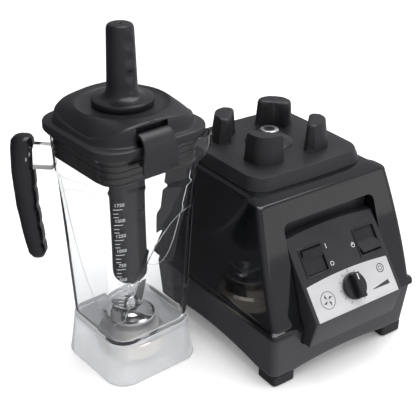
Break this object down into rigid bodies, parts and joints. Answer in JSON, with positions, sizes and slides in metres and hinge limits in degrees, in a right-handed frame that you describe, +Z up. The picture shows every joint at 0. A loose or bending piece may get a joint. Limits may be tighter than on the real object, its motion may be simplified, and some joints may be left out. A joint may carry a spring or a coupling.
{
  "type": "countertop blender",
  "caption": "Countertop blender base with control panel and drive socket, its square handled jar, latched lid and tamper standing beside it.",
  "frame": {"origin": "middle of the bounding box, at table height", "axes": "+Z up, -Y towards the front with its controls, +X to the right"},
  "size_m": [0.377, 0.26, 0.375],
  "materials": {
    "gloss_black": "gloss",
    "satin_grey": "satin",
    "charcoal": "matte",
    "black_plastic": "satin",
    "satin_black": "satin",
    "rubber": "matte",
    "board_green": "satin",
    "steel": "brushed",
    "copper": "polished",
    "brass": "polished",
    "carbon": "matte",
    "silver_sheet": "satin",
    "champagne_metal": "satin",
    "red_plastic": "gloss",
    "clear_plastic": "clear",
    "frosted_plastic": "frosted"
  },
  "bodies": {
    "base": {"upper_housing": "gloss_black", "lower_housing": "satin_grey", "control_console": "satin_grey", "centering_pad": "charcoal", "bottom_cover": "black_plastic", "cord_gland": "rubber", "control_board": "board_green", "overload_breaker": "black_plastic", "motor_stator": "steel", "field_coil_front": "copper", "field_coil_rear": "copper", "motor_bracket_top": "steel", "motor_bracket_bottom": "steel", "motor_bearing_top": "steel", "motor_bearing_bottom": "steel", "fan_shroud": "black_plastic", "foot_front_left": "rubber", "foot_front_right": "rubber", "foot_rear_left": "rubber", "foot_rear_right": "rubber", "housing_screw_front_left": "steel", "housing_screw_front_right": "steel", "housing_screw_rear_left": "steel", "housing_screw_rear_right": "steel", "brush_holder_front": "brass", "brush_holder_rear": "brass", "carbon_brush_front": "carbon", "carbon_brush_rear": "carbon", "motor_bolt_left": "steel", "motor_bolt_right": "steel", "dial_plate": "silver_sheet", "power_switch_body": "black_plastic", "pulse_switch_body": "black_plastic", "speed_potentiometer": "steel"},
    "rotor": {"motor_shaft": "steel", "armature_core": "steel", "commutator": "copper", "cooling_fan": "black_plastic", "drive_socket": "steel"},
    "knob": {"speed_knob": "satin_black"},
    "power_switch": {"power_rocker": "satin_black"},
    "pulse_switch": {"pulse_rocker": "satin_black"},
    "reset": {"reset_button": "red_plastic"},
    "jar": {"jar_body": "clear_plastic", "handle_grip": "satin_black", "handle_pin": "steel", "jar_foot": "frosted_plastic", "blade_retainer_nut": "champagne_metal", "blade_bearing_housing": "steel", "blade_bearing": "steel", "blade_seal": "rubber"},
    "blades": {"blade_shaft": "steel", "lower_blade": "steel", "upper_blade": "steel", "blade_nut": "steel"},
    "lid": {"lid": "charcoal", "lid_gasket": "rubber"},
    "latch_a": {"latch_front": "charcoal"},
    "latch_b": {"latch_rear": "charcoal"},
    "tamper": {"tamper": "satin_black"}
  },
  "joints": [
    {"name": "rotor_spin", "type": "hinge", "parent": "base", "child": "rotor", "pos_m": [0.08598, 0.03855, 0.15], "axis": [0, 0, 1], "continuous": true},
    {"name": "knob_turn", "type": "hinge", "parent": "base", "child": "knob", "pos_m": [0.08598, -0.11048, 0.09945], "axis": [0, -0.7923, 0.6101], "range_deg": [-150, 150]},
    {"name": "power_rocker_tip", "type": "hinge", "parent": "base", "child": "power_switch", "pos_m": [0.05048, -0.083, 0.1294], "axis": [-1, 0, 0], "range_deg": [0, 24]},
    {"name": "pulse_rocker_tip", "type": "hinge", "parent": "base", "child": "pulse_switch", "pos_m": [0.12598, -0.083, 0.1294], "axis": [1, 0, 0], "range_deg": [0, 22], "stiffness_Nm_per_rad": 0.12, "springref_deg": -11.46},
    {"name": "reset_button_press", "type": "slide", "parent": "base", "child": "reset", "axis": [0, 0, 1], "range_m": [0, 0.0025], "stiffness_N_per_m": 400, "springref_m": -0.002},
    {"name": "jar_lift", "type": "slide", "parent": "base", "child": "jar", "axis": [0, 0, 1], "range_m": [0, 0.3]},
    {"name": "blade_spin", "type": "hinge", "parent": "jar", "child": "blades", "pos_m": [-0.09452, 0.04645, 0.06], "axis": [0, 0, 1], "continuous": true},
    {"name": "lid_lift", "type": "slide", "parent": "jar", "child": "lid", "axis": [0, 0, 1], "range_m": [0, 0.2]},
    {"name": "latch_a_open", "type": "hinge", "parent": "lid", "child": "latch_a", "pos_m": [-0.09808, -0.01014, 0.284], "axis": [-0.9976, -0.0698, 0], "range_deg": [0, 60]},
    {"name": "latch_b_open", "type": "hinge", "parent": "lid", "child": "latch_b", "pos_m": [-0.09096, 0.10304, 0.284], "axis": [0.9976, 0.0698, 0], "range_deg": [0, 60]},
    {"name": "tamper_lift", "type": "slide", "parent": "lid", "child": "tamper", "axis": [0, 0, 1], "range_m": [0, 0.24]}
  ]
}
